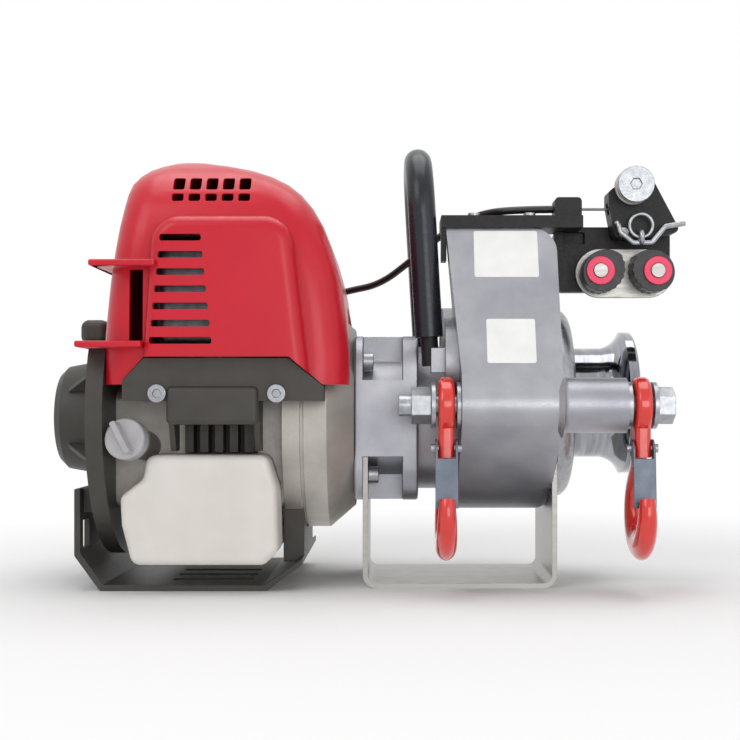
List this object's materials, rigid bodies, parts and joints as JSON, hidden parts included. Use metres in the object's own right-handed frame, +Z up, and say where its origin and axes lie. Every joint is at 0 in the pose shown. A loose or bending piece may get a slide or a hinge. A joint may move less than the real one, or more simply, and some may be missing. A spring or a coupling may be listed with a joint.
{
  "type": "capstan winch",
  "caption": "Portable rope-pulling capstan winch with a small engine, spur gear case, polished drum, rope lock, carrying handle, foot strap and anchor hooks.",
  "frame": {"origin": "middle of the foot strap's underside", "axes": "+Z up, +X along the crankshaft towards the drum, +Y away from the hooks"},
  "size_m": [0.3675, 0.2172, 0.257],
  "materials": {
    "cast_aluminium": "bead-blasted casting",
    "steel_plate": "brushed stainless",
    "zinc_steel": "bright zinc",
    "inner_steel": "machined",
    "polished_drum": "polished",
    "engine_alloy": "raw casting",
    "inner_iron": "machined",
    "black_plastic": "fine grain",
    "red_plastic": "gloss",
    "red_paint": "gloss",
    "natural_plastic": "translucent white",
    "grey_plastic": "satin",
    "black_paint": "satin",
    "pink_plastic": "gloss",
    "black_rubber": "smooth",
    "black_cord": "woven",
    "white_ceramic": "moulded cap"
  },
  "bodies": {
    "frame": {"foot_strap": "steel_plate", "clutch_housing": "cast_aluminium", "gear_cover": "cast_aluminium", "gear_housing": "cast_aluminium", "rope_ring": "zinc_steel", "bearings": "inner_steel", "crankcase": "engine_alloy", "fan_housing": "engine_alloy", "starter_cover": "black_plastic", "top_cover": "red_plastic", "under_cover": "black_plastic", "muffler": "inner_steel", "spark_plug": "white_ceramic", "carburettor": "engine_alloy", "air_cleaner": "black_plastic", "fuel_tank": "natural_plastic", "tank_guard": "black_plastic", "hook_bolt": "zinc_steel", "hook_nut": "zinc_steel", "hook_washers": "zinc_steel", "handle_bar": "black_paint", "handle_grip": "black_rubber", "rope_bracket": "black_paint", "cam_plate": "steel_plate", "cam_rings": "pink_plastic", "throttle_cable": "black_rubber", "large_screws": "zinc_steel", "small_screws": "zinc_steel", "pivot_pins": "steel_plate"},
    "drum": {"capstan_drum": "polished_drum", "drum_shaft": "inner_steel", "drum_bolt": "zinc_steel", "output_gear": "inner_steel"},
    "counter_two": {"counter_two": "inner_steel"},
    "counter_one": {"counter_one": "inner_steel"},
    "clutch_drum": {"clutch_drum": "inner_steel"},
    "crank": {"crankshaft": "inner_steel", "flywheel": "inner_iron"},
    "shoe_rear": {"clutch_shoe_rear": "inner_iron"},
    "shoe_front": {"clutch_shoe_front": "inner_iron"},
    "starter_pull": {"starter_grip": "black_plastic", "starter_rope": "black_cord"},
    "starter_reel": {"starter_reel": "black_plastic"},
    "hook_left": {"hook_left": "red_paint", "latch_pin_left": "zinc_steel"},
    "hook_right": {"hook_right": "red_paint", "latch_pin_right": "zinc_steel"},
    "latch_left": {"latch_left": "zinc_steel"},
    "latch_right": {"latch_right": "zinc_steel"},
    "cam_left": {"cam_left": "black_plastic"},
    "cam_right": {"cam_right": "black_plastic"},
    "lever": {"throttle_lever": "black_plastic", "roller_bolt": "zinc_steel", "rope_keeper": "zinc_steel"},
    "roller": {"guide_roller": "steel_plate"},
    "pull_ring": {"pull_ring": "zinc_steel"},
    "throttle_wire": {"throttle_wire": "inner_steel"},
    "throttle_arm": {"throttle_arm": "zinc_steel"},
    "fuel_cap": {"fuel_cap": "black_plastic"},
    "oil_cap": {"oil_cap": "grey_plastic"}
  },
  "joints": [
    {"name": "drum_spin", "type": "hinge", "parent": "frame", "child": "drum", "pos_m": [0.08, 0, 0.107], "axis": [1, 0, 0], "continuous": true},
    {"name": "counter_two_spin", "type": "hinge", "parent": "frame", "child": "counter_two", "pos_m": [0.02, -0.03897, 0.1295], "axis": [1, 0, 0], "continuous": true},
    {"name": "counter_one_spin", "type": "hinge", "parent": "frame", "child": "counter_one", "pos_m": [0.01, -0.0098, 0.12252], "axis": [1, 0, 0], "continuous": true},
    {"name": "clutch_drum_spin", "type": "hinge", "parent": "frame", "child": "clutch_drum", "pos_m": [-0.03, 0, 0.098], "axis": [1, 0, 0], "continuous": true},
    {"name": "crank_spin", "type": "hinge", "parent": "frame", "child": "crank", "pos_m": [-0.15, 0, 0.098], "axis": [1, 0, 0], "continuous": true},
    {"name": "shoe_rear_swing", "type": "hinge", "parent": "crank", "child": "shoe_rear", "pos_m": [-0.05, 0.008, 0.116], "axis": [1, 0, 0], "range_deg": [0, 0.9], "stiffness_Nm_per_rad": 4, "springref_deg": -2.86},
    {"name": "shoe_front_swing", "type": "hinge", "parent": "crank", "child": "shoe_front", "pos_m": [-0.05, -0.008, 0.08], "axis": [1, 0, 0], "range_deg": [0, 0.9], "stiffness_Nm_per_rad": 4, "springref_deg": -2.86},
    {"name": "starter_pull", "type": "slide", "parent": "frame", "child": "starter_pull", "axis": [0, 0, 1], "range_m": [0, 0.5], "stiffness_N_per_m": 15, "springref_m": -0.4, "deforming": ["starter_rope"]},
    {"name": "reel_spin", "type": "hinge", "parent": "frame", "child": "starter_reel", "pos_m": [-0.2225, 0, 0.098], "axis": [1, 0, 0], "range_deg": [0, 1303]},
    {"name": "hook_left_swing", "type": "hinge", "parent": "frame", "child": "hook_left", "pos_m": [-0.0093, -0.075, 0.1055], "axis": [-1, 0, 0], "range_deg": [-10, 100]},
    {"name": "hook_right_swing", "type": "hinge", "parent": "frame", "child": "hook_right", "pos_m": [0.0983, -0.075, 0.1055], "axis": [-1, 0, 0], "range_deg": [-10, 100]},
    {"name": "latch_left_swing", "type": "hinge", "parent": "hook_left", "child": "latch_left", "pos_m": [-0.0093, -0.08, 0.082], "axis": [1, 0, 0], "range_deg": [0, 35], "stiffness_Nm_per_rad": 0.03, "springref_deg": -28.65},
    {"name": "latch_right_swing", "type": "hinge", "parent": "hook_right", "child": "latch_right", "pos_m": [0.0983, -0.08, 0.082], "axis": [1, 0, 0], "range_deg": [0, 35], "stiffness_Nm_per_rad": 0.03, "springref_deg": -28.65},
    {"name": "cam_left_turn", "type": "hinge", "parent": "frame", "child": "cam_left", "pos_m": [0.0802, -0.045, 0.1826], "axis": [0, -1, 0], "range_deg": [0, 40], "stiffness_Nm_per_rad": 0.03, "springref_deg": -34.38},
    {"name": "cam_right_turn", "type": "hinge", "parent": "frame", "child": "cam_right", "pos_m": [0.113, -0.045, 0.1826], "axis": [0, 1, 0], "range_deg": [0, 40], "stiffness_Nm_per_rad": 0.03, "springref_deg": -34.38},
    {"name": "lever_turn", "type": "hinge", "parent": "frame", "child": "lever", "pos_m": [0.094, -0.0384, 0.205], "axis": [0, 1, 0], "range_deg": [0, 11], "stiffness_Nm_per_rad": 1, "springref_deg": -17.19},
    {"name": "roller_spin", "type": "hinge", "parent": "lever", "child": "roller", "pos_m": [0.099, -0.052, 0.2307], "axis": [0, 1, 0], "continuous": true},
    {"name": "pull_ring_swing", "type": "hinge", "parent": "lever", "child": "pull_ring", "pos_m": [0.103, -0.052, 0.2015], "axis": [1, 0, 0], "range_deg": [0, 110]},
    {"name": "wire_slide", "type": "slide", "parent": "frame", "child": "throttle_wire", "axis": [1, 0, 0], "range_m": [0, 0.003]},
    {"name": "throttle_arm_turn", "type": "hinge", "parent": "frame", "child": "throttle_arm", "pos_m": [-0.142, 0.068, 0.17], "axis": [0, 0, 1], "range_deg": [0, 16]},
    {"name": "fuel_cap_lift", "type": "slide", "parent": "frame", "child": "fuel_cap", "axis": [0, 0, 1], "range_m": [0, 0.03]},
    {"name": "oil_cap_draw", "type": "slide", "parent": "frame", "child": "oil_cap", "axis": [-0.1378, -0.9808, 0.1378], "range_m": [0, 0.03]}
  ],
  "couplings": [
    {"joint": "counter_two_spin", "follows": "drum_spin", "ratio": -5},
    {"joint": "counter_one_spin", "follows": "drum_spin", "ratio": 20},
    {"joint": "clutch_drum_spin", "follows": "drum_spin", "ratio": -90},
    {"joint": "reel_spin", "follows": "starter_pull", "rad_per_m": 45.455},
    {"joint": "wire_slide", "follows": "lever_turn", "m_per_rad": 0.014},
    {"joint": "throttle_arm_turn", "follows": "lever_turn", "ratio": 1.4}
  ]
}
